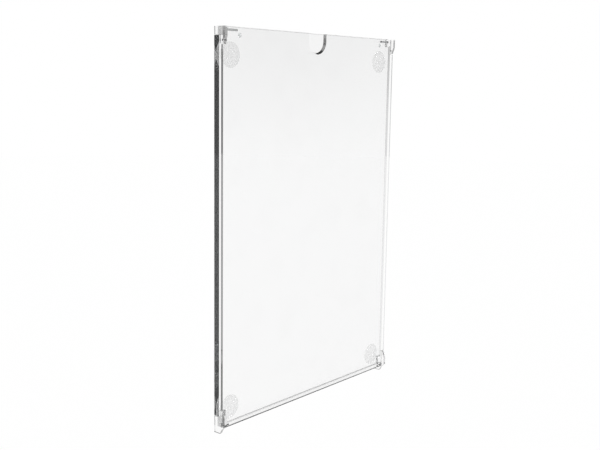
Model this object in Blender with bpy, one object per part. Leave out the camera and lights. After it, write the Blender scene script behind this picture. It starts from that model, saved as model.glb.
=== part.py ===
"""Clear acrylic sign holder for a wall, with a front cover that swings down on two pins.

Units are metres and +Z is up. X runs across the holder and +Y points into the wall. The origin lies
on the wall plane, midway between the four wall pads.
"""

import math

import bmesh
import bpy
from mathutils import Matrix, Vector

# The sheet that the holder shows, and the room it gets
SHEET_WIDTH = 0.210
SHEET_HEIGHT = 0.297
SHEET_SIDE_CLEARANCE = 0.0004
SHEET_TOP_CLEARANCE = 0.0018
SHEET_SPACE = 0.00195

# Flat acrylic panels. The plate reaches below the cover's rail by a small lip
PLATE_THICKNESS = 0.0053
PLATE_LIP = 0.0012
COVER_THICKNESS = 0.0021
EDGE_BEVEL = 0.0003

# Fits between neighbouring pieces
BOND_GAP = 0.0003
TURNING_GAP = 0.0004
SWING_GAP = 0.0006
PIN_SEAT_CLEARANCE = 0.00005
PIN_RUNNING_CLEARANCE = 0.00008
HOLE_END_CLEARANCE = 0.0003

# Thumb notch in the cover's top edge, wider at the front than at the rear by a chamfer all round
NOTCH_WIDTH = 0.0224
NOTCH_DEPTH = 0.0168
NOTCH_CHAMFER = 0.0014
NOTCH_QUARTER_STEPS = 10

# Corner blocks: a heel beside the plate, and an arm in front of it. The bottom ones have a foot with
# a steep toe, and an undercut above it
BLOCK_WIDTH = 0.0026
BLOCK_REACH = 0.0021
BLOCK_BEVEL = 0.0003
HEEL_SIDE_GAP = 0.0023
TOP_HEEL = 0.0059
TOP_ARM = 0.0065
TOP_SLOPE = 0.0051
BOTTOM_HEEL = 0.0084
BOTTOM_ARM = 0.0056
BOTTOM_SLOPE = 0.0055
FOOT_DROP = 0.0050
TOE_RISE = 0.0036
TOE_RUN = 0.0018
UNDERCUT_RISE = 0.0031
UNDERCUT_RUN = 0.0034

# Hinge rail along the cover's lower edge, and the place of the axis in from its front and its underside
RAIL_HEIGHT = 0.0031
RAIL_BACK_GAP = 0.0003
RAIL_BEVEL = 0.0002
RAIL_ROUND_STEPS = 8
HINGE_INSET = 0.0014

# Steel pins: two that the cover turns on, two that it snaps over
PIN_RADIUS = 0.0008
PIN_SEGMENTS = 24
PIN_BEVEL = 0.00015
PIN_END_WALL = 0.0008
HINGE_PIN_ENGAGEMENT = 0.0040
CATCH_PIN_REACH = 0.0007
CATCH_CLEARANCE = 0.0002
CATCH_INSET = 0.0024

# Stop bars above the sheet, and round pips that press it flat
STOP_SIDE_GAP = 0.0029
STOP_LENGTH = 0.0110
STOP_HEIGHT = 0.0016
STOP_DROP = 0.0015
STOP_BEVEL = 0.0002
PIP_RADIUS = 0.0017
PIP_SIDE_STEP = 0.0024
PIP_GAP = 0.0010
PIP_SHEET_ROOM = 0.0009
PIP_SEGMENTS = 24
PIP_RINGS = 5

# Round adhesive pads between the plate and the wall
PAD_RADIUS = 0.010
PAD_THICKNESS = 0.0012
PAD_BEVEL = 0.0003
PAD_RING_RADIUS = 0.0060
PAD_RECESS = 0.0003
PAD_SIDE_INSET = 0.0136
UPPER_PAD_DROP = 0.0200
LOWER_PAD_RISE = 0.0130
PAD_SEGMENTS = 48

# Places that follow from the sizes: across the holder
HALF_WIDTH = SHEET_WIDTH / 2 + SHEET_SIDE_CLEARANCE + BLOCK_WIDTH
BLOCK_INNER_X = HALF_WIDTH - BLOCK_WIDTH
TURNING_HALF_WIDTH = BLOCK_INNER_X - TURNING_GAP

# Places that follow from the sizes: from the wall to the front
PLATE_REAR = -(PAD_THICKNESS + BOND_GAP)
PLATE_FRONT = PLATE_REAR - PLATE_THICKNESS
COVER_REAR = PLATE_FRONT - SHEET_SPACE
COVER_FRONT = COVER_REAR - COVER_THICKNESS
BLOCK_FRONT = COVER_FRONT - BLOCK_REACH
ARM_REAR = PLATE_FRONT - BOND_GAP

# Places that follow from the sizes: heights
PANEL_HEIGHT = RAIL_HEIGHT + SHEET_HEIGHT + SHEET_TOP_CLEARANCE + STOP_HEIGHT + STOP_DROP
PAD_ROW_Z = (PANEL_HEIGHT - UPPER_PAD_DROP - LOWER_PAD_RISE) / 2
PANEL_TOP = PAD_ROW_Z + UPPER_PAD_DROP
PANEL_BOTTOM = -PAD_ROW_Z - LOWER_PAD_RISE
RAIL_TOP = PANEL_BOTTOM + RAIL_HEIGHT
TOP_ARM_END = PANEL_TOP - TOP_HEEL - TOP_ARM
BOTTOM_ARM_END = PANEL_BOTTOM + BOTTOM_HEEL + BOTTOM_ARM
CATCH_Z = TOP_ARM_END + CATCH_INSET

# The axis that the cover turns on lies near the lower front corner of the hinge rail
HINGE_AXIS = Vector((0, COVER_FRONT + HINGE_INSET, PANEL_BOTTOM + HINGE_INSET))
RAIL_REAR = COVER_THICKNESS + SHEET_SPACE - RAIL_BACK_GAP - HINGE_INSET

SIDES = {"left": -1, "right": 1}
BEVEL_ANGLE = math.radians(40)
SMOOTH_ANGLE = math.radians(35)
WELD_DISTANCE = 1e-7


def clear_scene():
    for obj in list(bpy.data.objects):
        bpy.data.objects.remove(obj, do_unlink=True)


def finish(name, colour, roughness, metallic=0.0, clear=0.0):
    """A plain Principled material. Clear pieces let light through."""
    material = bpy.data.materials.new(name)
    material.use_nodes = True
    shader = material.node_tree.nodes["Principled BSDF"]
    shader.inputs["Base Color"].default_value = (*colour, 1.0)
    shader.inputs["Roughness"].default_value = roughness
    shader.inputs["Metallic"].default_value = metallic
    shader.inputs["Transmission Weight"].default_value = clear
    shader.inputs["IOR"].default_value = 1.49
    return material


def add_piece(name, shape, material, location=(0, 0, 0), parent=None):
    """Turns a bmesh into a named object, with its faces pointing out."""
    bmesh.ops.recalc_face_normals(shape, faces=shape.faces)
    mesh = bpy.data.meshes.new(name)
    shape.to_mesh(mesh)
    shape.free()
    mesh.shade_smooth()
    mesh.set_sharp_from_angle(angle=SMOOTH_ANGLE)
    mesh.materials.append(material)
    obj = bpy.data.objects.new(name, mesh)
    obj.location = location
    obj.parent = parent
    bpy.context.collection.objects.link(obj)
    return obj


def prism(corners, direction):
    """A closed outline of 3-D corners, extruded along a direction."""
    shape = bmesh.new()
    face = shape.faces.new([shape.verts.new(corner) for corner in corners])
    grown = bmesh.ops.extrude_face_region(shape, geom=[face])["geom"]
    moved = [item for item in grown if isinstance(item, bmesh.types.BMVert)]
    bmesh.ops.translate(shape, vec=direction, verts=moved)
    return shape


def panel(front_outline, rear_outline, front, rear):
    """A flat panel facing the front, from two outlines of (x, z) points with as many points in each."""
    shape = bmesh.new()
    near = [shape.verts.new((x, front, z)) for x, z in front_outline]
    far = [shape.verts.new((x, rear, z)) for x, z in rear_outline]
    shape.faces.new(near)
    shape.faces.new(reversed(far))
    for index in range(len(near)):
        shape.faces.new((near[index - 1], near[index], far[index], far[index - 1]))
    return shape


def bar(outline, width):
    """A bar that runs across the holder, from an outline of (y, z) points, centred on its own X."""
    corners = [(-width / 2, y, z) for y, z in outline]
    return prism(corners, Vector((width, 0, 0)))


def rod(radius, length):
    """A round rod along X, centred on its own origin."""
    shape = bmesh.new()
    turn = Matrix.Rotation(math.pi / 2, 4, "Y")
    bmesh.ops.create_cone(
        shape,
        cap_ends=True,
        segments=PIN_SEGMENTS,
        radius1=radius,
        radius2=radius,
        depth=length,
        matrix=turn,
    )
    return shape


def turned(profile, steps):
    """A solid turned round its own Y axis, from a profile of (radius, y) points."""
    shape = bmesh.new()
    points = [shape.verts.new((radius, y, 0)) for radius, y in profile]
    edges = [shape.edges.new(pair) for pair in zip(points, points[1:])]
    bmesh.ops.spin(
        shape,
        geom=points + edges,
        cent=(0, 0, 0),
        axis=(0, 1, 0),
        angle=2 * math.pi,
        steps=steps,
    )
    bmesh.ops.remove_doubles(shape, verts=shape.verts, dist=WELD_DISTANCE)
    return shape


def bevel(obj, width, segments=1):
    modifier = obj.modifiers.new("edge_bevel", "BEVEL")
    modifier.width = width
    modifier.segments = segments
    modifier.limit_method = "ANGLE"
    modifier.angle_limit = BEVEL_ANGLE


def bore(obj, radius, inner_x, outer_x, y, z, side):
    """Cuts a round hole along X, from one distance off the middle of the holder to another."""
    shape = rod(radius, outer_x - inner_x)
    middle = (side * (inner_x + outer_x) / 2, y, z)
    cutter = add_piece(f"{obj.name}_bore_{side}", shape, obj.data.materials[0], middle)
    cutter.hide_render = True
    cutter.display_type = "WIRE"
    modifier = obj.modifiers.new(f"bore_{side}", "BOOLEAN")
    modifier.operation = "DIFFERENCE"
    modifier.solver = "EXACT"
    modifier.object = cutter


def both_halves(right_half, middle=()):
    """A whole outline from its right half, whose points run from the bottom to the top."""
    left_half = [(-x, z) for x, z in reversed(right_half)]
    return [*right_half, *middle, *left_half]


def plate_outline():
    notch_x = BLOCK_INNER_X - HEEL_SIDE_GAP
    low = PANEL_BOTTOM + BOTTOM_HEEL + BOND_GAP
    high = PANEL_TOP - TOP_HEEL - BOND_GAP
    right_half = [
        (notch_x, PANEL_BOTTOM - PLATE_LIP),
        (notch_x, low),
        (HALF_WIDTH, low),
        (HALF_WIDTH, high),
        (notch_x, high),
        (notch_x, PANEL_TOP),
    ]
    return both_halves(right_half)


def cover_outline(notch_radius):
    """The cover's shoulders pass between the corner blocks, and its top edge has the thumb notch."""
    shoulder_low = BOTTOM_ARM_END + SWING_GAP
    shoulder_high = TOP_ARM_END - SWING_GAP
    catch_half = PIN_RADIUS + CATCH_CLEARANCE
    catch_x = TURNING_HALF_WIDTH - CATCH_PIN_REACH - CATCH_CLEARANCE
    notch_centre_z = PANEL_TOP - NOTCH_DEPTH + NOTCH_WIDTH / 2
    right_half = [
        (TURNING_HALF_WIDTH, RAIL_TOP + BOND_GAP),
        (TURNING_HALF_WIDTH, shoulder_low),
        (HALF_WIDTH, shoulder_low),
        (HALF_WIDTH, shoulder_high),
        (TURNING_HALF_WIDTH, shoulder_high),
        (TURNING_HALF_WIDTH, CATCH_Z - catch_half),
        (catch_x, CATCH_Z - catch_half),
        (catch_x, CATCH_Z + catch_half),
        (TURNING_HALF_WIDTH, CATCH_Z + catch_half),
        (TURNING_HALF_WIDTH, PANEL_TOP),
        (notch_radius, PANEL_TOP),
    ]
    for step in range(NOTCH_QUARTER_STEPS):
        angle = math.pi / 2 * step / NOTCH_QUARTER_STEPS
        x = notch_radius * math.cos(angle)
        z = notch_centre_z - notch_radius * math.sin(angle)
        right_half.append((x, z))
    return both_halves(right_half, [(0, notch_centre_z - notch_radius)])


def top_block_outline():
    """Side view of a top corner block: a heel beside the plate, an arm with a sloped end in front."""
    return [
        (PLATE_REAR, PANEL_TOP),
        (PLATE_REAR, PANEL_TOP - TOP_HEEL),
        (ARM_REAR, PANEL_TOP - TOP_HEEL),
        (ARM_REAR, TOP_ARM_END),
        (COVER_FRONT, TOP_ARM_END),
        (BLOCK_FRONT, TOP_ARM_END + TOP_SLOPE),
        (BLOCK_FRONT, PANEL_TOP),
    ]


def bottom_block_outline():
    """Side view of a bottom corner block, which reaches below the panels as a foot."""
    foot_z = PANEL_BOTTOM - FOOT_DROP
    ankle_y = BLOCK_FRONT + UNDERCUT_RUN
    ankle_z = foot_z + TOE_RISE
    return [
        (PLATE_REAR, foot_z),
        (ankle_y + TOE_RUN, foot_z),
        (ankle_y, ankle_z),
        (BLOCK_FRONT, ankle_z + UNDERCUT_RISE),
        (BLOCK_FRONT, BOTTOM_ARM_END - BOTTOM_SLOPE),
        (COVER_FRONT, BOTTOM_ARM_END),
        (ARM_REAR, BOTTOM_ARM_END),
        (ARM_REAR, PANEL_BOTTOM + BOTTOM_HEEL),
        (PLATE_REAR, PANEL_BOTTOM + BOTTOM_HEEL),
    ]


def rail_outline():
    """Section of the hinge rail about the hinge axis. Its lower rear corner is turned to clear the plate."""
    top = RAIL_HEIGHT - HINGE_INSET
    points = [(RAIL_REAR, top), (-HINGE_INSET, top), (-HINGE_INSET, -HINGE_INSET)]
    lowest = -math.asin(min(1, HINGE_INSET / RAIL_REAR))
    for step in range(RAIL_ROUND_STEPS + 1):
        angle = lowest * (1 - step / RAIL_ROUND_STEPS)
        points.append((RAIL_REAR * math.cos(angle), RAIL_REAR * math.sin(angle)))
    return points


def add_plate():
    material = finish("plate_acrylic", (0.90, 0.93, 0.93), 0.04, clear=1.0)
    outline = plate_outline()
    plate = add_piece("back_plate", panel(outline, outline, PLATE_FRONT, PLATE_REAR), material)
    bevel(plate, EDGE_BEVEL)


def add_corner_blocks():
    material = finish("block_acrylic", (0.88, 0.91, 0.91), 0.05, clear=1.0)
    seat = PIN_RADIUS + PIN_SEAT_CLEARANCE
    hole_inner_x = BLOCK_INNER_X - HOLE_END_CLEARANCE
    hole_outer_x = HALF_WIDTH - PIN_END_WALL + HOLE_END_CLEARANCE
    catch_y = (COVER_FRONT + COVER_REAR) / 2
    for side_name, side in SIDES.items():
        middle = (side * (HALF_WIDTH + BLOCK_INNER_X) / 2, 0, 0)
        shape = bar(top_block_outline(), BLOCK_WIDTH)
        top = add_piece(f"corner_block_top_{side_name}", shape, material, middle)
        bevel(top, BLOCK_BEVEL)
        bore(top, seat, hole_inner_x, hole_outer_x, catch_y, CATCH_Z, side)
        shape = bar(bottom_block_outline(), BLOCK_WIDTH)
        bottom = add_piece(f"corner_block_bottom_{side_name}", shape, material, middle)
        bevel(bottom, BLOCK_BEVEL)
        bore(bottom, seat, hole_inner_x, hole_outer_x, HINGE_AXIS.y, HINGE_AXIS.z, side)


def add_pins():
    """Each pin sits in a blind hole of its block and points to the middle of the holder."""
    material = finish("pin_steel", (0.55, 0.56, 0.57), 0.30, metallic=1.0)
    outer_x = HALF_WIDTH - PIN_END_WALL
    catch_y = (COVER_FRONT + COVER_REAR) / 2
    tips = {
        "hinge_pin": (TURNING_HALF_WIDTH - HINGE_PIN_ENGAGEMENT, HINGE_AXIS.y, HINGE_AXIS.z),
        "catch_pin": (TURNING_HALF_WIDTH - CATCH_PIN_REACH, catch_y, CATCH_Z),
    }
    for side_name, side in SIDES.items():
        for pin_name, (inner_x, y, z) in tips.items():
            middle = (side * (inner_x + outer_x) / 2, y, z)
            shape = rod(PIN_RADIUS, outer_x - inner_x)
            pin = add_piece(f"{pin_name}_{side_name}", shape, material, middle)
            bevel(pin, PIN_BEVEL)


def add_sheet_stops():
    """Short bars on the plate's front, above the sheet's two top corners."""
    material = finish("stop_acrylic", (0.55, 0.58, 0.58), 0.06, clear=1.0)
    high = PANEL_TOP - STOP_DROP
    low = high - STOP_HEIGHT
    rear = PLATE_FRONT - BOND_GAP
    front = COVER_REAR + BOND_GAP
    outline = [(front, low), (rear, low), (rear, high), (front, high)]
    for side_name, side in SIDES.items():
        middle_x = BLOCK_INNER_X - STOP_SIDE_GAP - STOP_LENGTH / 2
        shape = bar(outline, STOP_LENGTH)
        stop = add_piece(f"sheet_stop_{side_name}", shape, material, (side * middle_x, 0, 0))
        bevel(stop, STOP_BEVEL)


def add_wall_pads():
    """Discs with a shallow round recess on the plate's side and a flat face on the wall's side."""
    material = finish("pad_gel", (0.80, 0.81, 0.82), 0.45)
    profile = [
        (0, -PAD_THICKNESS + PAD_RECESS),
        (PAD_RING_RADIUS - PAD_RECESS, -PAD_THICKNESS + PAD_RECESS),
        (PAD_RING_RADIUS, -PAD_THICKNESS),
        (PAD_RADIUS - PAD_BEVEL, -PAD_THICKNESS),
        (PAD_RADIUS, -PAD_THICKNESS + PAD_BEVEL),
        (PAD_RADIUS, -PAD_BEVEL),
        (PAD_RADIUS - PAD_BEVEL, 0),
        (0, 0),
    ]
    for side_name, side in SIDES.items():
        for row_name, z in {"upper": PAD_ROW_Z, "lower": -PAD_ROW_Z}.items():
            place = (side * (HALF_WIDTH - PAD_SIDE_INSET), 0, z)
            shape = turned(profile, PAD_SEGMENTS)
            add_piece(f"wall_pad_{row_name}_{side_name}", shape, material, place)


def add_cover():
    """The cover sheet, its hinge rail and its pips all turn about one empty on the hinge axis."""
    hinge = bpy.data.objects.new("cover_hinge", None)
    hinge.location = HINGE_AXIS
    bpy.context.collection.objects.link(hinge)

    sheet_material = finish("cover_acrylic", (0.92, 0.95, 0.95), 0.03, clear=1.0)
    front_outline = cover_outline(NOTCH_WIDTH / 2)
    rear_outline = cover_outline(NOTCH_WIDTH / 2 - NOTCH_CHAMFER)
    shape = panel(front_outline, rear_outline, COVER_FRONT, COVER_REAR)
    bmesh.ops.translate(shape, vec=-HINGE_AXIS, verts=shape.verts)
    cover = add_piece("front_cover", shape, sheet_material, parent=hinge)
    bevel(cover, EDGE_BEVEL)

    rail_material = finish("rail_acrylic", (0.86, 0.90, 0.90), 0.05, clear=1.0)
    shape = bar(rail_outline(), 2 * TURNING_HALF_WIDTH)
    rail = add_piece("hinge_rail", shape, rail_material, parent=hinge)
    bevel(rail, RAIL_BEVEL)
    running = PIN_RADIUS + PIN_RUNNING_CLEARANCE
    hole_inner_x = TURNING_HALF_WIDTH - HINGE_PIN_ENGAGEMENT - HOLE_END_CLEARANCE
    hole_outer_x = TURNING_HALF_WIDTH + HOLE_END_CLEARANCE
    for side in SIDES.values():
        bore(rail, running, hole_inner_x, hole_outer_x, HINGE_AXIS.y, HINGE_AXIS.z, side)

    pip_material = finish("pip_silicone", (0.84, 0.86, 0.86), 0.25, clear=0.6)
    pip_height = SHEET_SPACE - BOND_GAP - PIP_SHEET_ROOM
    profile = [(0, 0), (PIP_RADIUS, 0)]
    for ring in range(1, PIP_RINGS + 1):
        angle = math.pi / 2 * ring / PIP_RINGS
        radius = PIP_RADIUS * math.cos(angle) if ring < PIP_RINGS else 0
        profile.append((radius, pip_height * math.sin(angle)))
    stop_inner_x = BLOCK_INNER_X - STOP_SIDE_GAP - STOP_LENGTH
    pip_z = PANEL_TOP - STOP_DROP - STOP_HEIGHT - PIP_GAP - PIP_RADIUS
    for side_name, side in SIDES.items():
        place = Vector((side * (stop_inner_x - PIP_SIDE_STEP), COVER_REAR + BOND_GAP, pip_z))
        shape = turned(profile, PIP_SEGMENTS)
        add_piece(f"sheet_pip_{side_name}", shape, pip_material, place - HINGE_AXIS, hinge)


def main():
    clear_scene()
    add_plate()
    add_corner_blocks()
    add_pins()
    add_sheet_stops()
    add_wall_pads()
    add_cover()


if __name__ == "__main__":
    main()
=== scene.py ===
"""Clear acrylic sign holder for a wall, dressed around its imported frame.

Units are metres and +Z is up. X runs across the holder, +Y points into the wall, and the front faces -Y.
"""

import math

import bpy
from bpy.props import FloatProperty, FloatVectorProperty, IntProperty, PointerProperty
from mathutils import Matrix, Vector


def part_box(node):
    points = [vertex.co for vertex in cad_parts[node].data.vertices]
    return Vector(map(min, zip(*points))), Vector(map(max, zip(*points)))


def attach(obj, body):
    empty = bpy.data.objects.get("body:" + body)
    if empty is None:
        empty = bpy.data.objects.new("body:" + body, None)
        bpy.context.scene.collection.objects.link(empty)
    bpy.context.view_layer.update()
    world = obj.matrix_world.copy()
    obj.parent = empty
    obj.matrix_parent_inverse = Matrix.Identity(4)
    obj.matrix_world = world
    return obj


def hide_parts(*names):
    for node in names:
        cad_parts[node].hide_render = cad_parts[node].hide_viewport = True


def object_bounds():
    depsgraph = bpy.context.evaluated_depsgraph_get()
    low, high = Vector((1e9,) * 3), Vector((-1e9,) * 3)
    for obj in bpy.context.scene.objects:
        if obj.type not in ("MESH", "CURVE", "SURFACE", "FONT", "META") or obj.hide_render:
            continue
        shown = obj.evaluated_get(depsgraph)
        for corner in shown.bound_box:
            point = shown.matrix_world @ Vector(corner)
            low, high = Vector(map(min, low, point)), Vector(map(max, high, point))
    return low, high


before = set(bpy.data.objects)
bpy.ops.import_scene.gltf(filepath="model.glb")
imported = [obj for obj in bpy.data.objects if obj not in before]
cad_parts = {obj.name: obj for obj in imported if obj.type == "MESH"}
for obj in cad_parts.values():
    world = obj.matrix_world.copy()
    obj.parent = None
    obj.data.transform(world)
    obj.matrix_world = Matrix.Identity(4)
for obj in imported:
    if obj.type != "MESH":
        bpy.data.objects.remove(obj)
CAD_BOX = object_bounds()

bl_info = {
    "name": "Acrylic Sign Holder",
    "version": (1, 0, 0),
    "blender": (4, 5, 0),
    "location": "View3D > Sidebar > Sign Holder",
    "description": "Builds a clear wall sign holder with a cover that swings down",
    "category": "Add Mesh",
}

SIDES = {"left": -1, "right": 1}
ROWS = ("upper", "lower")
TURN_TO_AXIS = {
    "X": (0, math.pi / 2, 0),
    "Y": (math.pi / 2, 0, 0),
}

# Modelling: limits, margins and how finely round forms are divided
SMOOTH_ANGLE = math.radians(35)
WELD_DISTANCE = 1e-7
NEAR_DISTANCE = 0.00005
CUT_MARGIN = 0.002
CORNER_SLICES = 6
PIN_SEGMENTS = 48
PIP_SEGMENTS = 48
PIP_RINGS = 24
PAD_SEGMENTS = 96
NOTCH_SEGMENTS = 192
FLOOR_SEGMENTS = 96

# A face looks along an axis where more than this part of its normal lies along it
FACING = 0.9

# Patterns: the scale of each, per metre, and the band of its values over which a mark fades
HAZE_SCALE = 45
HAZE_BAND = (0.45, 0.75)
HAIRLINE_SCALE = 260
HAIRLINE_BAND = (0.70, 0.78)
CROSS_LINE_SCALE = 240
CROSS_LINE_BAND = (0.72, 0.80)
RIPPLE_SCALE = 14
SAW_LINE_SCALE = 1500
CLOUD_SCALE = 320
BUBBLE_SCALE = 900
BUBBLE_BAND = (0.10, 0.22)
BLOOM_SCALE = 900
GRINDING_SCALE = 4000
SPECK_SCALE = 2500
SPECK_BAND = (0.60, 0.72)
FLOOR_SCALE = 180

# Wall pads: the shares of the radius from which the rim turns milkier and its edge fades out
RIM_START = 0.6
FEATHER_START = 0.90

# Optics
ACRYLIC_IOR = 1.49
GEL_IOR = 1.45
SILICONE_IOR = 1.41
SENSOR_WIDTH = 36
MOST_BOUNCES = 64
DIFFUSE_BOUNCES = 32

# Studio light: the turns inside a panel that trap light, and the directions over which the room changes
TRAPPED_TURNS = (3, 14)
HORIZON_BAND = (-0.17, 0.10)
CEILING_BAND = (0.20, 0.45)
FLAG_BAND = (0.2, 0.7)
WINDOW_BAND = (0.74, 0.86)


class HolderSizes(bpy.types.PropertyGroup):
    """Sizes that the frame's boxes don't give."""

    edge_round: FloatProperty(
        name="Edge round",
        description="Radius of the polished edges of the plate",
        default=0.0003,
        unit="LENGTH",
    )
    block_round: FloatProperty(
        name="Block round",
        description="Radius of the moulded edges of the corner blocks",
        default=0.0003,
        unit="LENGTH",
    )
    fine_round: FloatProperty(
        name="Fine round",
        description="Radius of the edges of the cover, the rail, the stops and the pins",
        default=0.00015,
        unit="LENGTH",
    )
    round_steps: IntProperty(
        name="Round steps",
        description="Facets across each rounded edge",
        default=3,
    )
    bond_gap: FloatProperty(
        name="Bond gap",
        description="Air line between pieces that are fitted together",
        default=0.0003,
        unit="LENGTH",
    )
    contact: FloatProperty(
        name="Contact",
        description="How far cemented and sticky faces sink into their neighbour, so that no air line shows",
        default=0.00002,
        unit="LENGTH",
    )
    heel_side_gap: FloatProperty(
        name="Heel side gap",
        description="Room between a block's heel and the wall of its notch in the plate",
        default=0.0023,
        unit="LENGTH",
    )
    swing_gap: FloatProperty(
        name="Swing gap",
        description="Room between the cover's shoulders and the corner blocks",
        default=0.0006,
        unit="LENGTH",
    )
    notch_width: FloatProperty(
        name="Thumb notch width",
        description="Width of the round notch in the cover's top edge",
        default=0.0224,
        unit="LENGTH",
    )
    notch_depth: FloatProperty(
        name="Thumb notch depth",
        description="How far the notch reaches below the cover's top edge",
        default=0.0168,
        unit="LENGTH",
    )
    notch_chamfer: FloatProperty(
        name="Thumb notch chamfer",
        description="How much wider the notch is at the front than at the rear, all round",
        default=0.0014,
        unit="LENGTH",
    )
    catch_clearance: FloatProperty(
        name="Catch clearance",
        description="Room round a catch pin in the cover's edge notch",
        default=0.0002,
        unit="LENGTH",
    )
    top_heel: FloatProperty(
        name="Top heel",
        description="Height of a top block's heel beside the plate",
        default=0.0059,
        unit="LENGTH",
    )
    top_slope: FloatProperty(
        name="Top slope",
        description="Height of the sloped end of a top block's arm",
        default=0.0051,
        unit="LENGTH",
    )
    bottom_heel: FloatProperty(
        name="Bottom heel",
        description="Height of a bottom block's heel above the hinge rail's underside",
        default=0.0084,
        unit="LENGTH",
    )
    bottom_slope: FloatProperty(
        name="Bottom slope",
        description="Height of the sloped end of a bottom block's arm",
        default=0.0055,
        unit="LENGTH",
    )
    toe_rise: FloatProperty(
        name="Toe rise",
        description="Height of the steep front of a foot",
        default=0.0036,
        unit="LENGTH",
    )
    toe_run: FloatProperty(
        name="Toe run",
        description="Depth of the steep front of a foot",
        default=0.0018,
        unit="LENGTH",
    )
    undercut_rise: FloatProperty(
        name="Undercut rise",
        description="Height of the slope under a bottom block's arm",
        default=0.0031,
        unit="LENGTH",
    )
    undercut_run: FloatProperty(
        name="Undercut run",
        description="Depth of the slope under a bottom block's arm",
        default=0.0034,
        unit="LENGTH",
    )
    pin_seat: FloatProperty(
        name="Pin seat clearance",
        description="Room round a pin in its hole",
        default=0.00005,
        unit="LENGTH",
    )
    pad_ring: FloatProperty(
        name="Pad ring",
        description="Radius where a wall pad's raised outer ring begins",
        default=0.0060,
        unit="LENGTH",
    )
    pad_recess: FloatProperty(
        name="Pad recess",
        description="Depth of the hollow in the middle of a wall pad",
        default=0.0001,
        unit="LENGTH",
    )
    pad_slope: FloatProperty(
        name="Pad slope",
        description="Width of the gentle slope into the hollow of a wall pad",
        default=0.0012,
        unit="LENGTH",
    )
    pad_round: FloatProperty(
        name="Pad round",
        description="Radius of a wall pad's soft rim",
        default=0.0004,
        unit="LENGTH",
    )
    pad_taper: FloatProperty(
        name="Pad taper",
        description="How much smaller a wall pad's radius is at the wall than at the plate",
        default=0.0012,
        unit="LENGTH",
    )


class HolderFinishes(bpy.types.PropertyGroup):
    """Colours and clarity."""

    acrylic: FloatVectorProperty(
        name="Acrylic",
        description="Colour of the clear acrylic",
        default=(1.0, 1.0, 1.0),
        subtype="COLOR",
        size=3,
    )
    smoke: FloatVectorProperty(
        name="Edge tint",
        description="Colour that long paths through the acrylic turn to",
        default=(0.02, 0.04, 0.045),
        subtype="COLOR",
        size=3,
    )
    sawn_roughness: FloatProperty(
        name="Sawn roughness",
        description="Roughness of the sawn walls of the plate's corner notches",
        default=0.95,
        subtype="FACTOR",
    )
    sawn_frost: FloatProperty(
        name="Sawn frost",
        description="Share of the light that the sawn walls scatter back",
        default=0.5,
        subtype="FACTOR",
    )
    plate_density: FloatProperty(
        name="Plate density",
        description="How strongly the plate dims light, per metre",
        default=7.0,
    )
    block_density: FloatProperty(
        name="Block density",
        description="How strongly the corner blocks dim light, per metre",
        default=8.0,
    )
    stop_density: FloatProperty(
        name="Stop density",
        description="How strongly the smoky stop bars dim light, per metre",
        default=500.0,
    )
    gel: FloatVectorProperty(
        name="Gel",
        description="Colour of the milky wall pads",
        default=(0.998, 0.998, 0.998),
        subtype="COLOR",
        size=3,
    )
    silicone: FloatVectorProperty(
        name="Silicone",
        description="Colour of the soft pips",
        default=(0.80, 0.82, 0.82),
        subtype="COLOR",
        size=3,
    )
    steel: FloatVectorProperty(
        name="Steel",
        description="Colour of the ground steel pins",
        default=(0.18, 0.185, 0.19),
        subtype="COLOR",
        size=3,
    )


class StageSettings(bpy.types.PropertyGroup):
    """Camera, floor and studio light."""

    camera_place: FloatVectorProperty(
        name="Camera place",
        description="Where the camera stands",
        default=(-0.56823, -0.47391, 0.11469),
        subtype="TRANSLATION",
        unit="LENGTH",
        size=3,
    )
    camera_turn: FloatVectorProperty(
        name="Camera turn",
        description="Camera angles about X, Y and Z",
        default=tuple(math.radians(angle) for angle in (80.9919, -0.8577, -49.7387)),
        subtype="EULER",
        unit="ROTATION",
        size=3,
    )
    camera_lens: FloatProperty(
        name="Lens",
        description="Focal length in millimetres on a 36 mm wide sensor",
        default=53.040,
    )
    floor: FloatVectorProperty(
        name="Floor",
        description="Colour of the floor",
        default=(0.99, 0.99, 0.99),
        subtype="COLOR",
        size=3,
    )
    floor_radius: FloatProperty(
        name="Floor radius",
        description="Radius of the round floor",
        default=6.5,
        unit="LENGTH",
    )
    floor_drop: FloatProperty(
        name="Floor drop",
        description="How far the floor lies below the feet of the holder, clear of the open cover",
        default=0.31,
        unit="LENGTH",
    )
    shadow_share: FloatProperty(
        name="Shadow share",
        description="How much of the object's soft shadow the white floor keeps",
        default=0.25,
        subtype="FACTOR",
    )
    horizon_level: FloatProperty(
        name="Horizon level",
        description="Brightness of the room that polished faces mirror at eye level",
        default=0.42,
    )
    window_share: FloatProperty(
        name="Window share",
        description="How much of the horizon's dimness a window at the right takes away",
        default=0.45,
        subtype="FACTOR",
    )
    ceiling_level: FloatProperty(
        name="Ceiling level",
        description="Brightness of the room overhead, as polished faces mirror it",
        default=0.12,
    )
    flag_level: FloatProperty(
        name="Side level",
        description="Brightness of the dark card at the left, as polished faces mirror it",
        default=0.70,
    )
    floor_level: FloatProperty(
        name="Floor level",
        description="Brightness of the floor, as polished faces mirror it",
        default=0.85,
    )
    edge_level: FloatProperty(
        name="Edge level",
        description="Share of the light that reaches the eye after many turns inside a panel",
        default=0.21,
    )


class SignHolder(bpy.types.PropertyGroup):
    """All the settings of the holder and its stage."""

    sizes: PointerProperty(type=HolderSizes)
    finishes: PointerProperty(type=HolderFinishes)
    stage: PointerProperty(type=StageSettings)


# Shader nodes


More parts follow.
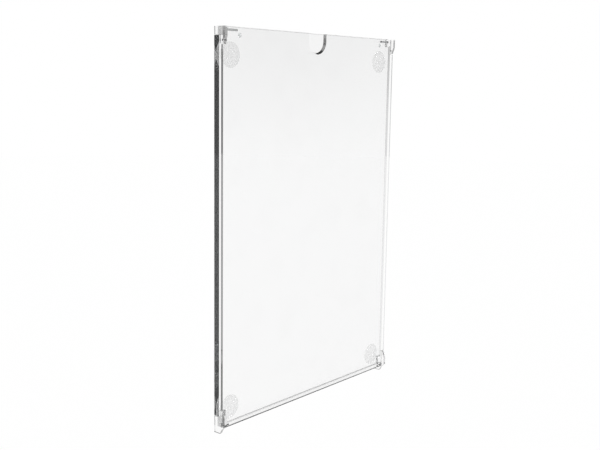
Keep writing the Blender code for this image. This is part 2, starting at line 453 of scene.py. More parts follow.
class Value:
    """A shader socket that takes part in Python arithmetic. Each operator adds a Math node."""

    def __init__(self, graph, socket):
        self.graph = graph
        self.socket = socket

    def __add__(self, other):
        return self.graph.maths("ADD", self, other)

    def __sub__(self, other):
        return self.graph.maths("SUBTRACT", self, other)

    def __rsub__(self, other):
        return self.graph.maths("SUBTRACT", other, self)

    def __mul__(self, other):
        return self.graph.maths("MULTIPLY", self, other)

    __radd__ = __add__
    __rmul__ = __mul__


class Graph:
    """A node tree that is built node by node."""

    # The sockets of a Mix node share their names, so its colours go by number
    FIRST_COLOUR = 6
    SECOND_COLOUR = 7
    MIXED_COLOUR = 2

    def __init__(self, tree):
        self.tree = tree
        tree.nodes.clear()

    def node(self, kind, settings=None, inputs=None):
        """Adds a node: its settings are set first, then the values or links of its sockets."""
        made = self.tree.nodes.new(kind)
        for name, setting in (settings or {}).items():
            setattr(made, name, setting)
        for name, value in (inputs or {}).items():
            if isinstance(value, Value):
                self.tree.links.new(value.socket, made.inputs[name])
            else:
                made.inputs[name].default_value = value
        return made

    def value(self, kind, output, settings=None, inputs=None):
        """One output of a new node, ready for arithmetic."""
        return Value(self, self.node(kind, settings, inputs).outputs[output])

    def maths(self, operation, first, second):
        return self.value(
            "ShaderNodeMath",
            "Value",
            {"operation": operation},
            {0: first, 1: second},
        )

    def ramp(self, value, low, high):
        """0 below low and 1 above high, with a smooth step between them."""
        return self.value(
            "ShaderNodeMapRange",
            "Result",
            {"interpolation_type": "SMOOTHSTEP"},
            {"Value": value, "From Min": low, "From Max": high},
        )

    def near(self, value, target):
        """1 where the value is at the target, and 0 elsewhere."""
        return self.maths("LESS_THAN", self.maths("ABSOLUTE", value - target, 0), NEAR_DISTANCE)

    def noise(self, place, scale, detail=2.0, stretch=(1, 1, 1)):
        """Noise from 0 to 1 on the piece's own coordinates. Stretch below 1 draws it out along that axis."""
        turned = self.value(
            "ShaderNodeMapping", "Vector", inputs={"Vector": place, "Scale": stretch}
        )
        return self.value(
            "ShaderNodeTexNoise",
            "Fac",
            inputs={"Vector": turned, "Scale": scale, "Detail": detail},
        )

    def blend(self, share, first, second):
        """A colour that goes from the first to the second as share goes from 0 to 1."""
        return self.value(
            "ShaderNodeMix",
            self.MIXED_COLOUR,
            {"data_type": "RGBA"},
            {"Factor": share, self.FIRST_COLOUR: (*first, 1), self.SECOND_COLOUR: (*second, 1)},
        )

    def bump(self, height, strength, distance):
        return self.value(
            "ShaderNodeBump",
            "Normal",
            inputs={"Height": height, "Strength": strength, "Distance": distance},
        )

    def principled(self, inputs):
        return self.value("ShaderNodeBsdfPrincipled", "BSDF", inputs=inputs)

    def mix(self, share, first, second):
        """A shader that goes from the first to the second as share goes from 0 to 1."""
        return self.value("ShaderNodeMixShader", "Shader", inputs={0: share, 1: first, 2: second})


def new_material(name):
    material = bpy.data.materials.new(name)
    material.use_nodes = True
    graph = Graph(material.node_tree)
    place = graph.value("ShaderNodeTexCoord", "Object")
    return material, graph, place


def close_material(graph, shader, volume=None):
    output = graph.node("ShaderNodeOutputMaterial", inputs={"Surface": shader})
    if volume is not None:
        graph.tree.links.new(volume.socket, output.inputs["Volume"])


def darker(colour, share):
    return tuple(channel * share for channel in colour)


def polished(graph, place, sawn=0):
    """Polished clear acrylic: faint haze, hairline scratches, a slow ripple, and matt where it is sawn."""
    look = bpy.context.scene.sign_holder.finishes
    haze = graph.ramp(graph.noise(place, HAZE_SCALE, 4), *HAZE_BAND)
    hairlines = graph.ramp(graph.noise(place, HAIRLINE_SCALE, 1, (1, 1, 0.04)), *HAIRLINE_BAND)
    cross_lines = graph.ramp(graph.noise(place, CROSS_LINE_SCALE, 1, (0.05, 1, 1)), *CROSS_LINE_BAND)
    scratches = hairlines + cross_lines * 0.6
    ripple = graph.noise(place, RIPPLE_SCALE, 1)
    return graph.principled(
        {
            "Base Color": graph.blend(haze, look.acrylic, darker(look.acrylic, 0.992)),
            "Roughness": 0.004 + haze * 0.010 + scratches * 0.03 + sawn * look.sawn_roughness,
            "IOR": ACRYLIC_IOR,
            "Transmission Weight": 1.0,
            "Normal": graph.bump(ripple * 0.6 - scratches * 0.05, 0.04, 0.0004),
        }
    )


def frosted(graph, place):
    """What the saw leaves on acrylic: white and matt, with fine lines."""
    look = bpy.context.scene.sign_holder.finishes
    saw_lines = graph.noise(place, SAW_LINE_SCALE, 2, (1, 0.05, 1))
    return graph.principled(
        {
            "Base Color": graph.blend(saw_lines, look.acrylic, darker(look.acrylic, 0.9)),
            "Roughness": look.sawn_roughness,
            "IOR": ACRYLIC_IOR,
        }
    )


def smoke(graph, density):
    """What the body of the acrylic takes from light that passes through it."""
    look = bpy.context.scene.sign_holder.finishes
    return graph.value(
        "ShaderNodeVolumeAbsorption",
        "Volume",
        inputs={"Color": (*look.smoke, 1), "Density": density},
    )


def clear_acrylic(name, density):
    material, graph, place = new_material(name)
    close_material(graph, polished(graph, place), smoke(graph, density) if density else None)
    return material


def notched_acrylic(name, density):
    """The plate's acrylic, which the saw leaves matt on the walls of its corner notches."""
    look = bpy.context.scene.sign_holder.finishes
    material, graph, place = new_material(name)
    notch_x, heights = plate_notches()
    low, high = heights[0][1], heights[1][0]
    axes = graph.node("ShaderNodeSeparateXYZ", inputs={"Vector": place})
    across = graph.maths("ABSOLUTE", Value(graph, axes.outputs["X"]), 0)
    height = Value(graph, axes.outputs["Z"])
    ends = graph.maths("LESS_THAN", height, low) + graph.maths("GREATER_THAN", height, high)
    upright = graph.near(across, notch_x) * ends
    level = graph.near(height, low) + graph.near(height, high)
    beside = graph.maths("GREATER_THAN", across, notch_x)
    sawn = graph.maths("MAXIMUM", upright, level * beside)
    shader = graph.mix(sawn * look.sawn_frost, polished(graph, place, sawn), frosted(graph, place))
    close_material(graph, shader, smoke(graph, density))
    return material


def clear_cement():
    """The clear cement in a joint between two pieces of acrylic, which can't be seen."""
    material, graph, _ = new_material("clear_cement")
    close_material(graph, graph.principled({"IOR": ACRYLIC_IOR, "Alpha": 0.0}))
    return material


def milky_gel():
    """Translucent adhesive gel: cloudy, with tiny trapped bubbles, and milkier towards the rim."""
    look = bpy.context.scene.sign_holder.finishes
    material, graph, place = new_material("milky_gel")
    low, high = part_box("wall_pad_upper_right")
    middle = (low + high) / 2
    axes = graph.node("ShaderNodeSeparateXYZ", inputs={"Vector": place})
    across = graph.maths("ABSOLUTE", Value(graph, axes.outputs["X"]), 0) - middle.x
    height = graph.maths("ABSOLUTE", Value(graph, axes.outputs["Z"]), 0) - middle.z
    reach = graph.maths("POWER", across * across + height * height, 0.5)
    radius = high.x - middle.x
    rim = graph.ramp(reach, RIM_START * radius, radius)
    feather = graph.ramp(reach, FEATHER_START * radius, radius)
    clouds = graph.noise(place, CLOUD_SCALE, 4)
    cell = graph.value("ShaderNodeTexVoronoi", "Distance", inputs={"Vector": place, "Scale": BUBBLE_SCALE})
    bubbles = 1 - graph.ramp(cell, *BUBBLE_BAND)
    shader = graph.principled(
        {
            "Base Color": graph.blend(rim * (0.7 + clouds * 0.6), look.gel, darker(look.gel, 0.985)),
            "Roughness": 0.12 + clouds * 0.15 + rim * 0.40,
            "IOR": GEL_IOR,
            "Alpha": 0.20 + clouds * 0.12 + rim * 0.10 - feather * 0.20,
            "Normal": graph.bump(clouds * 0.5 - bubbles, 0.05, 0.0001),
        }
    )
    close_material(graph, shader)
    return material


def clear_silicone():
    """Soft clear silicone with a faint dusty bloom."""
    look = bpy.context.scene.sign_holder.finishes
    material, graph, place = new_material("clear_silicone")
    bloom = graph.noise(place, BLOOM_SCALE, 3)
    shader = graph.principled(
        {
            "Base Color": graph.blend(bloom, darker(look.silicone, 0.95), look.silicone),
            "Roughness": 0.08 + bloom * 0.12,
            "IOR": SILICONE_IOR,
            "Transmission Weight": 0.85,
            "Normal": graph.bump(bloom, 0.1, 0.00005),
        }
    )
    close_material(graph, shader)
    return material


def ground_steel():
    """Ground steel rod: fine rings round the pin, and darker specks."""
    look = bpy.context.scene.sign_holder.finishes
    material, graph, place = new_material("ground_steel")
    rings = graph.noise(place, GRINDING_SCALE, 2, (1, 0.02, 0.02))
    specks = graph.ramp(graph.noise(place, SPECK_SCALE, 3), *SPECK_BAND)
    shader = graph.principled(
        {
            "Base Color": graph.blend(specks, look.steel, darker(look.steel, 0.7)),
            "Roughness": 0.24 + rings * 0.14,
            "Metallic": 1.0,
            "Normal": graph.bump(rings, 0.2, 0.00002),
        }
    )
    close_material(graph, shader)
    return material


def material_for(name, maker, *values):
    """The material of that name, made the first time it is asked for."""
    return bpy.data.materials.get(name) or maker(*values)


def acrylic_for(slot):
    """The acrylic of a slot of the record. Each slot has its own density."""
    look = bpy.context.scene.sign_holder.finishes
    densities = {
        "plate_acrylic": look.plate_density,
        "cover_acrylic": 0,
        "rail_acrylic": 0,
        "stop_acrylic": look.stop_density,
        "block_acrylic": look.block_density,
    }
    maker = notched_acrylic if slot == "plate_acrylic" else clear_acrylic
    return material_for(f"clear_{slot}", maker, f"clear_{slot}", densities[slot])


# Modelling


def settle(name):
    """Names the new primitive and puts its place, turn and size into its mesh."""
    obj = bpy.context.active_object
    obj.name = name
    obj.data.name = name
    bpy.ops.object.transform_apply(location=True, rotation=True, scale=True)
    return obj


def new_box(name, low, high):
    low, high = Vector(low), Vector(high)
    bpy.ops.object.select_all(action="DESELECT")
    bpy.ops.mesh.primitive_cube_add(size=1, location=(low + high) / 2, scale=high - low)
    return settle(name)


def new_rod(name, centre, radius, length, axis, segments):
    bpy.ops.object.select_all(action="DESELECT")
    bpy.ops.mesh.primitive_cylinder_add(
        vertices=segments,
        radius=radius,
        depth=length,
        location=centre,
        rotation=TURN_TO_AXIS[axis],
    )
    return settle(name)


def edit(obj):
    """Makes one object the only selected one and opens it in edit mode."""
    bpy.ops.object.select_all(action="DESELECT")
    obj.select_set(True)
    bpy.context.view_layer.objects.active = obj
    bpy.ops.object.mode_set(mode="EDIT")


def close_edit():
    bpy.ops.object.mode_set(mode="OBJECT")


def slice_off(obj, point, outward):
    """Cuts the object by a plane, drops what lies outward of it and fills the cut."""
    edit(obj)
    bpy.ops.mesh.select_all(action="SELECT")
    bpy.ops.mesh.bisect(
        plane_co=point,
        plane_no=Vector(outward).normalized(),
        use_fill=True,
        clear_outer=True,
        threshold=WELD_DISTANCE,
    )
    close_edit()


def score(obj, point, across):
    """Marks a line of edges round the object where a plane meets it, and takes nothing away."""
    edit(obj)
    bpy.ops.mesh.select_all(action="SELECT")
    bpy.ops.mesh.bisect(plane_co=point, plane_no=across, threshold=WELD_DISTANCE)
    close_edit()


def pick_faces(obj, wanted):
    """Opens the object in edit mode with only the faces that pass a test selected."""
    edit(obj)
    bpy.ops.mesh.select_mode(type="FACE")
    bpy.ops.mesh.select_all(action="DESELECT")
    close_edit()
    for face in obj.data.polygons:
        face.select = wanted(face)
    edit(obj)


def apply_modifier(obj, modifier):
    bpy.ops.object.select_all(action="DESELECT")
    obj.select_set(True)
    bpy.context.view_layer.objects.active = obj
    bpy.ops.object.modifier_apply(modifier=modifier.name)


def cut(obj, cutter):
    """Takes the cutter's shape out of the object and removes the cutter."""
    modifier = obj.modifiers.new("cut", "BOOLEAN")
    modifier.operation = "DIFFERENCE"
    modifier.solver = "EXACT"
    modifier.object = cutter
    apply_modifier(obj, modifier)
    bpy.data.objects.remove(cutter, do_unlink=True)


def cut_box(obj, low, high):
    cut(obj, new_box("cutter", low, high))


def round_edges(obj, width, steps):
    modifier = obj.modifiers.new("rounded_edges", "BEVEL")
    modifier.width = width
    modifier.segments = steps
    modifier.limit_method = "ANGLE"
    modifier.angle_limit = SMOOTH_ANGLE
    apply_modifier(obj, modifier)


def round_open_edges(obj, width, steps, joint_z):
    """Rounds the sharp edges, apart from those at the height of a cemented joint."""
    edit(obj)
    bpy.ops.mesh.select_mode(type="EDGE")
    bpy.ops.mesh.select_all(action="DESELECT")
    bpy.ops.mesh.edges_select_sharp(sharpness=SMOOTH_ANGLE)
    close_edit()
    points = obj.data.vertices
    for edge in obj.data.edges:
        if all(abs(points[index].co.z - joint_z) < WELD_DISTANCE for index in edge.vertices):
            edge.select = False
    edit(obj)
    bpy.ops.mesh.bevel(offset=width, segments=steps, affect="EDGES")
    close_edit()


def hand_over(obj, body, node, material):
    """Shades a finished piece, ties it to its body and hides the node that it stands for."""
    edit(obj)
    bpy.ops.mesh.select_all(action="SELECT")
    bpy.ops.mesh.remove_doubles(threshold=WELD_DISTANCE)
    bpy.ops.mesh.normals_make_consistent(inside=False)
    close_edit()
    bpy.ops.object.shade_smooth_by_angle(angle=SMOOTH_ANGLE)
    even = obj.modifiers.new("even_shading", "WEIGHTED_NORMAL")
    even.keep_sharp = True
    apply_modifier(obj, even)
    obj.data.materials.clear()
    obj.data.materials.append(material)
    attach(obj, body)
    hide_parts(node)
    return obj


def cement(obj, joint_z, rear):
    """Puts the clear cement on the level faces of a joint, in front of a rear limit."""
    slot = len(obj.data.materials)
    obj.data.materials.append(material_for("clear_cement", clear_cement))
    for face in obj.data.polygons:
        level = abs(face.center.z - joint_z) < WELD_DISTANCE and abs(face.normal.z) > FACING
        if level and face.center.y < rear:
            face.material_index = slot


def mirrored_span(side, inner, outer):
    """The low and high X of a span on one side of the middle."""
    return sorted((side * inner, side * outer))


def cut_corners(obj, low, high, inner_x, heights):
    """Cuts the object away on both sides, out from inner_x, over each span of heights."""
    for side in SIDES.values():
        near_x, far_x = mirrored_span(side, inner_x, high.x + CUT_MARGIN)
        for bottom, top in heights:
            cut_box(
                obj,
                (near_x, low.y - CUT_MARGIN, bottom),
                (far_x, high.y + CUT_MARGIN, top),
            )


def drill_for(obj, pin, sizes):
    """Drills the hole that a pin sits in."""
    low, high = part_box(pin)
    hole = new_rod(
        "cutter",
        (low + high) / 2,
        (high.z - low.z) / 2 + sizes.pin_seat,
        high.x - low.x + 2 * sizes.bond_gap,
        "X",
        PIN_SEGMENTS,
    )
    cut(obj, hole)


def plate_notches():
    """How far out the plate's corner notches begin, and the heights of a bottom and a top one."""
    sizes = bpy.context.scene.sign_holder.sizes
    low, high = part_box("back_plate")
    notch_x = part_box("corner_block_top_right")[0].x - sizes.heel_side_gap
    heel_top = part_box("hinge_rail")[0].z + sizes.bottom_heel
    heights = [
        (low.z - CUT_MARGIN, heel_top + sizes.bond_gap),
        (high.z - sizes.top_heel - sizes.bond_gap, high.z + CUT_MARGIN),
    ]
    return notch_x, heights


# Operators


class SIGNHOLDER_OT_stage(bpy.types.Operator):
    """Set the camera, the pale floor and the soft studio light"""

    bl_idname = "signholder.stage"
    bl_label = "Stage"

    def execute(self, context):
        settings = context.scene.sign_holder.stage
        self.add_camera(context, settings)
        self.add_floor(settings)
        self.light_room(context, settings)
        context.scene.view_settings.view_transform = "Standard"
        return {"FINISHED"}

    def add_camera(self, context, settings):
        bpy.ops.object.camera_add(location=settings.camera_place, rotation=settings.camera_turn)
        camera = context.active_object
        camera.name = "photo_camera"
        camera.data.lens = settings.camera_lens
        camera.data.sensor_width = SENSOR_WIDTH
        context.scene.camera = camera

    def add_floor(self, settings):
        floor_z = CAD_BOX[0].z - settings.floor_drop
        bpy.ops.object.select_all(action="DESELECT")
        bpy.ops.mesh.primitive_circle_add(
            vertices=FLOOR_SEGMENTS,
            radius=settings.floor_radius,
            fill_type="NGON",
            location=(0, 0, floor_z),
        )
        floor = settle("floor")
        material, graph, place = new_material("pale_floor")
        speckle = graph.noise(place, FLOOR_SCALE, 3)
        matt = graph.value(
            "ShaderNodeBsdfDiffuse",
            "BSDF",
            inputs={"Color": graph.blend(speckle, settings.floor, darker(settings.floor, 0.998))},
        )
        ray = graph.node("ShaderNodeLightPath")
        through = Value(graph, ray.outputs["Is Transmission Ray"])
        direct = Value(graph, ray.outputs["Is Camera Ray"])
        mirrored, trapped = self.turned_light(graph, ray)
        level = (1 - mirrored * (1 - settings.floor_level)) * (1 - trapped) + trapped * settings.edge_level
        white = graph.value("ShaderNodeEmission", "Emission", inputs={"Color": (1, 1, 1, 1)})
        # This mix has no first shader, so a lower level is darker
        glow = graph.value("ShaderNodeMixShader", "Shader", inputs={0: level, 2: white})
        white_share = (direct + through) * (1 - settings.shadow_share)
        close_material(graph, graph.mix(white_share, matt, glow))
        floor.data.materials.append(material)
        # Outer faces mirror the light from below the horizon instead of the floor
        floor.visible_glossy = False

    def turned_light(self, graph, ray):
        """Two masks: light that polished faces have mirrored, and light that many turns have trapped.

        Light that a milky piece has scattered comes from all sides, so both masks are 0 for it.
        """
        turns = Value(graph, ray.outputs["Glossy Depth"])
        straight = 1 - graph.maths("MINIMUM", Value(graph, ray.outputs["Diffuse Depth"]), 1)
        mirrored = graph.maths("MINIMUM", turns, 1) * straight
        trapped = graph.ramp(turns, *TRAPPED_TURNS) * straight
        return mirrored, trapped

    def light_room(self, context, settings):
        """White light all round, and for polished faces a dimmer room with a window at the right.

        Mirrored light dims above the horizon, overhead and at the left. Trapped light has one low level.
        """
        world = bpy.data.worlds.new("studio")
        world.use_nodes = True
        context.scene.world = world
        graph = Graph(world.node_tree)
        direction = graph.node(
            "ShaderNodeSeparateXYZ",
            inputs={"Vector": graph.value("ShaderNodeTexCoord", "Generated")},
        )
        across = Value(graph, direction.outputs["X"])
        height = Value(graph, direction.outputs["Z"])
        mirrored, trapped = self.turned_light(graph, graph.node("ShaderNodeLightPath"))
        window = 1 - graph.ramp(across, *WINDOW_BAND) * settings.window_share
        horizon = graph.ramp(height, *HORIZON_BAND) * (1 - settings.horizon_level) * window
        ceiling = graph.ramp(height, *CEILING_BAND) * (settings.horizon_level - settings.ceiling_level)
        flag = graph.ramp(0 - across, *FLAG_BAND) * (1 - settings.flag_level)
        room = graph.maths("MAXIMUM", horizon + ceiling, flag)
        strength = (1 - mirrored * room) * (1 - trapped) + trapped * settings.edge_level
        background = graph.value(
            "ShaderNodeBackground",
            "Background",
            inputs={"Color": (1, 1, 1, 1), "Strength": strength},
        )
        graph.node("ShaderNodeOutputWorld", inputs={"Surface": background})
        cycles = context.scene.cycles
        cycles.blur_glossy = 0
        cycles.max_bounces = MOST_BOUNCES
        cycles.diffuse_bounces = DIFFUSE_BOUNCES
        cycles.glossy_bounces = MOST_BOUNCES
        cycles.transmission_bounces = MOST_BOUNCES


class SIGNHOLDER_OT_back_plate(bpy.types.Operator):
    """Make the thick back plate, with a notch for each corner block"""

    bl_idname = "signholder.back_plate"
    bl_label = "Back Plate"

    def execute(self, context):
        sizes = context.scene.sign_holder.sizes
        low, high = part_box("back_plate")
        plate = new_box("clear_back_plate", low, high)
        cut_corners(plate, low, high, *plate_notches())
        round_edges(plate, sizes.edge_round, sizes.round_steps)
        hand_over(plate, "holder", "back_plate", acrylic_for("plate_acrylic"))
        return {"FINISHED"}


class SIGNHOLDER_OT_corner_blocks(bpy.types.Operator):
    """Make the four corner blocks, with sloped ends and blind pin holes"""

    bl_idname = "signholder.corner_blocks"
    bl_label = "Corner Blocks"

    def execute(self, context):
        sizes = context.scene.sign_holder.sizes
        cover_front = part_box("front_cover")[0].y
        arm_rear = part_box("back_plate")[0].y - sizes.bond_gap
        for name in SIDES:
            self.make_top(f"corner_block_top_{name}", f"catch_pin_{name}", sizes, cover_front, arm_rear)
            self.make_bottom(
                f"corner_block_bottom_{name}", f"hinge_pin_{name}", sizes, cover_front, arm_rear
            )
        return {"FINISHED"}

    def make_top(self, node, pin, sizes, cover_front, arm_rear):
        low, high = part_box(node)
        block = new_box(f"clear_{node}", low, high)
        cut_box(
            block,
            (low.x - CUT_MARGIN, arm_rear, low.z - CUT_MARGIN),
            (high.x + CUT_MARGIN, high.y + CUT_MARGIN, high.z - sizes.top_heel),
        )
        reach = cover_front - low.y
        slice_off(block, (0, cover_front, low.z), Vector((0, -sizes.top_slope, -reach)))
        self.complete(block, node, pin, sizes)

    def make_bottom(self, node, pin, sizes, cover_front, arm_rear):
        low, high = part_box(node)
        heel_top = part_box("hinge_rail")[0].z + sizes.bottom_heel
        block = new_box(f"clear_{node}", low, high)
        cut_box(
            block,
            (low.x - CUT_MARGIN, arm_rear, heel_top),
            (high.x + CUT_MARGIN, high.y + CUT_MARGIN, high.z + CUT_MARGIN),
        )
        reach = cover_front - low.y
        slice_off(block, (0, cover_front, high.z), Vector((0, -sizes.bottom_slope, reach)))
        cut(block, self.undercutter(low, high, sizes))
        self.complete(block, node, pin, sizes)

    def undercutter(self, low, high, sizes):
        """What is missing in front of the foot and under the arm: a box sliced by two slopes."""
        ankle = Vector((0, low.y + sizes.undercut_run, low.z + sizes.toe_rise))
        cutter = new_box(
            "cutter",
            (low.x - CUT_MARGIN, low.y - CUT_MARGIN, low.z - CUT_MARGIN),
            (high.x + CUT_MARGIN, ankle.y + 2 * sizes.toe_run, ankle.z + 2 * sizes.undercut_rise),
        )
        slice_off(cutter, ankle, Vector((0, sizes.toe_rise, sizes.toe_run)))
        slice_off(cutter, ankle, Vector((0, sizes.undercut_rise, sizes.undercut_run)))
        return cutter

    def complete(self, block, node, pin, sizes):
        """Rounds the edges, drills the hole that the pin sits in, and hands the block over."""
        round_edges(block, sizes.block_round, sizes.round_steps)
        drill_for(block, pin, sizes)
        hand_over(block, "holder", node, acrylic_for("block_acrylic"))


class SIGNHOLDER_OT_pins(bpy.types.Operator):
    """Make the two hinge pins and the two catch pins"""

    bl_idname = "signholder.pins"
    bl_label = "Pins"

    def execute(self, context):
        sizes = context.scene.sign_holder.sizes
        for kind in ("hinge_pin", "catch_pin"):
            for name in SIDES:
                node = f"{kind}_{name}"
                low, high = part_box(node)
                pin = new_rod(
                    f"steel_{node}",
                    (low + high) / 2,
                    (high.z - low.z) / 2,
                    high.x - low.x,
                    "X",
                    PIN_SEGMENTS,
                )
                round_edges(pin, sizes.fine_round, sizes.round_steps)
                hand_over(pin, "holder", node, material_for("ground_steel", ground_steel))
        return {"FINISHED"}


class SIGNHOLDER_OT_sheet_stops(bpy.types.Operator):
    """Make the two short bars above the sheet's top corners"""

    bl_idname = "signholder.sheet_stops"
    bl_label = "Sheet Stops"

    def execute(self, context):
        sizes = context.scene.sign_holder.sizes
        for name in SIDES:
            node = f"sheet_stop_{name}"
            stop = new_box(f"clear_{node}", *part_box(node))
            round_edges(stop, sizes.fine_round, sizes.round_steps)
            hand_over(stop, "holder", node, acrylic_for("stop_acrylic"))
        return {"FINISHED"}


class SIGNHOLDER_OT_wall_pads(bpy.types.Operator):
    """Make the four round gel pads behind the plate"""

    bl_idname = "signholder.wall_pads"
    bl_label = "Wall Pads"

    def execute(self, context):
        sizes = context.scene.sign_holder.sizes
        plate_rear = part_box("back_plate")[1].y
        for row in ROWS:
            for name in SIDES:
                self.make_pad(f"wall_pad_{row}_{name}", plate_rear - sizes.contact, sizes)
        return {"FINISHED"}

    def make_pad(self, node, front, sizes):
        low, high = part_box(node)
        radius = (high.z - low.z) / 2
        centre = Vector(((low.x + high.x) / 2, (front + high.y) / 2, (low.z + high.z) / 2))
        pad = new_rod(f"gel_{node}", centre, radius, high.y - front, "Y", PAD_SEGMENTS)
        pick_faces(pad, lambda face: face.normal.y > FACING)
        share = 1 - sizes.pad_taper / radius
        bpy.ops.transform.resize(value=(share, 1, share), center_override=centre)
        bpy.ops.mesh.inset(thickness=radius - sizes.pad_taper - sizes.pad_ring)
        bpy.ops.mesh.inset(thickness=sizes.pad_slope)
        bpy.ops.transform.translate(value=(0, -sizes.pad_recess, 0))
        close_edit()
        round_edges(pad, sizes.pad_round, sizes.round_steps)
        hand_over(pad, "holder", node, material_for("milky_gel", milky_gel))


class SIGNHOLDER_OT_front_cover(bpy.types.Operator):
    """Make the thin cover, with its shoulders, catch notches and thumb notch"""

    bl_idname = "signholder.front_cover"
    bl_label = "Front Cover"

    def execute(self, context):
        sizes = context.scene.sign_holder.sizes
        low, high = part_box("front_cover")
        cover = new_box("clear_front_cover", low, high)
        self.cut_shoulders(cover, low, high, sizes)
        self.cut_catches(cover, low, high, sizes)
        cut(cover, self.thumb_cutter(low, high, sizes))
        round_open_edges(cover, sizes.fine_round, sizes.round_steps, low.z)
        hand_over(cover, "cover", "front_cover", acrylic_for("cover_acrylic"))
        cement(cover, low.z, high.y)
        return {"FINISHED"}

    def cut_shoulders(self, cover, low, high, sizes):
        """The cover is narrower between the corner blocks, as wide there as the hinge rail."""
        half_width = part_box("hinge_rail")[1].x
        heights = [
            (low.z - CUT_MARGIN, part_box("corner_block_bottom_right")[1].z + sizes.swing_gap),
            (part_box("corner_block_top_right")[0].z - sizes.swing_gap, high.z + CUT_MARGIN),
        ]
        cut_corners(cover, low, high, half_width, heights)

    def cut_catches(self, cover, low, high, sizes):
        pin_low, pin_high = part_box("catch_pin_right")
        for side in SIDES.values():
            near_x, far_x = mirrored_span(side, pin_low.x - sizes.catch_clearance, pin_high.x)
            cut_box(
                cover,
                (near_x, low.y - CUT_MARGIN, pin_low.z - sizes.catch_clearance),
                (far_x, high.y + CUT_MARGIN, pin_high.z + sizes.catch_clearance),
            )

    def thumb_cutter(self, low, high, sizes):
        """A tapered half disc, wide at the front, whose flat top is drawn up past the cover's edge."""
        radius = sizes.notch_width / 2
        thickness = high.y - low.y
        taper = sizes.notch_chamfer / thickness * CUT_MARGIN
        centre = Vector((0, (low.y + high.y) / 2, high.z - sizes.notch_depth + radius))
        bpy.ops.object.select_all(action="DESELECT")
        bpy.ops.mesh.primitive_cone_add(
            vertices=NOTCH_SEGMENTS,
            radius1=radius - sizes.notch_chamfer - taper,
            radius2=radius + taper,
            depth=thickness + 2 * CUT_MARGIN,
            location=centre,
            rotation=TURN_TO_AXIS["Y"],
        )
        cutter = settle("cutter")
        slice_off(cutter, centre, Vector((0, 0, 1)))
        pick_faces(cutter, lambda face: face.normal.z > FACING)
        rise = sizes.notch_depth - radius + CUT_MARGIN
        bpy.ops.mesh.extrude_region_move(TRANSFORM_OT_translate={"value": (0, 0, rise)})
        close_edit()
        return cutter


class SIGNHOLDER_OT_hinge_rail(bpy.types.Operator):
    """Make the rail along the cover's lower edge, with a turned rear corner and its pin holes"""

    bl_idname = "signholder.hinge_rail"
    bl_label = "Hinge Rail"

    def execute(self, context):
        sizes = context.scene.sign_holder.sizes
        low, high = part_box("hinge_rail")
        cover_low, cover_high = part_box("front_cover")
        joint_z = cover_low.z + sizes.contact
        rail = new_box("clear_hinge_rail", low, (high.x, high.y, joint_z))
        self.turn_corner(rail, low, high)
        round_open_edges(rail, sizes.fine_round, sizes.round_steps, joint_z)
        for name in SIDES:
            drill_for(rail, f"hinge_pin_{name}", sizes)
        score(rail, (0, cover_high.y, joint_z), (0, 1, 0))
        hand_over(rail, "cover", "hinge_rail", acrylic_for("rail_acrylic"))
        cement(rail, joint_z, cover_high.y)
        return {"FINISHED"}

    def turn_corner(self, rail, low, high):
        """Slices the lower rear corner to a round about the hinge axis, so that it clears the plate."""
        pin_low, pin_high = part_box("hinge_pin_right")
        axis = (pin_low + pin_high) / 2
        radius = high.y - axis.y
        lowest = math.asin((low.z - axis.z) / radius)
        for step in range(1, CORNER_SLICES):
            angle = lowest * step / CORNER_SLICES
            outward = Vector((0, math.cos(angle), math.sin(angle)))
            slice_off(rail, Vector((0, axis.y, axis.z)) + radius * outward, outward)


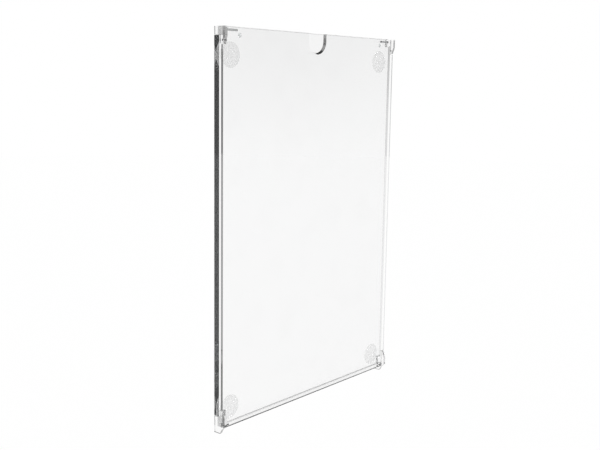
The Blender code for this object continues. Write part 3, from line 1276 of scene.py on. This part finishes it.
class SIGNHOLDER_OT_sheet_pips(bpy.types.Operator):
    """Make the two soft pips that press the sheet flat"""

    bl_idname = "signholder.sheet_pips"
    bl_label = "Sheet Pips"

    def execute(self, context):
        for name in SIDES:
            node = f"sheet_pip_{name}"
            low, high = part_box(node)
            radius = (high.z - low.z) / 2
            centre = Vector(((low.x + high.x) / 2, low.y, (low.z + high.z) / 2))
            bpy.ops.object.select_all(action="DESELECT")
            bpy.ops.mesh.primitive_uv_sphere_add(
                segments=PIP_SEGMENTS,
                ring_count=PIP_RINGS,
                radius=radius,
                location=centre,
                rotation=TURN_TO_AXIS["Y"],
                scale=(1, 1, (high.y - low.y) / radius),
            )
            pip = settle(f"soft_{node}")
            slice_off(pip, centre, Vector((0, -1, 0)))
            hand_over(pip, "cover", node, material_for("clear_silicone", clear_silicone))
        return {"FINISHED"}


PIECE_OPERATORS = (
    SIGNHOLDER_OT_back_plate,
    SIGNHOLDER_OT_corner_blocks,
    SIGNHOLDER_OT_pins,
    SIGNHOLDER_OT_sheet_stops,
    SIGNHOLDER_OT_wall_pads,
    SIGNHOLDER_OT_front_cover,
    SIGNHOLDER_OT_hinge_rail,
    SIGNHOLDER_OT_sheet_pips,
)


class SIGNHOLDER_PT_panel(bpy.types.Panel):
    """Lists the holder's pieces and settings"""

    bl_idname = "SIGNHOLDER_PT_panel"
    bl_label = "Sign Holder"
    bl_space_type = "VIEW_3D"
    bl_region_type = "UI"
    bl_category = "Sign Holder"

    def draw(self, context):
        layout = self.layout
        layout.operator(SIGNHOLDER_OT_stage.bl_idname)
        for operator in PIECE_OPERATORS:
            layout.operator(operator.bl_idname)
        holder = context.scene.sign_holder
        for group in (holder.sizes, holder.finishes, holder.stage):
            box = layout.box()
            for name in group.bl_rna.properties.keys():
                if name not in ("rna_type", "name"):
                    box.prop(group, name)


CLASSES = (
    HolderSizes,
    HolderFinishes,
    StageSettings,
    SignHolder,
    SIGNHOLDER_OT_stage,
    *PIECE_OPERATORS,
    SIGNHOLDER_PT_panel,
)


def register():
    for cls in CLASSES:
        bpy.utils.register_class(cls)
    bpy.types.Scene.sign_holder = PointerProperty(type=SignHolder)


def unregister():
    del bpy.types.Scene.sign_holder
    for cls in reversed(CLASSES):
        bpy.utils.unregister_class(cls)


def main():
    register()
    bpy.ops.signholder.stage()
    bpy.ops.signholder.back_plate()
    bpy.ops.signholder.corner_blocks()
    bpy.ops.signholder.pins()
    bpy.ops.signholder.sheet_stops()
    bpy.ops.signholder.wall_pads()
    bpy.ops.signholder.front_cover()
    bpy.ops.signholder.hinge_rail()
    bpy.ops.signholder.sheet_pips()


if __name__ == "__main__":
    main()
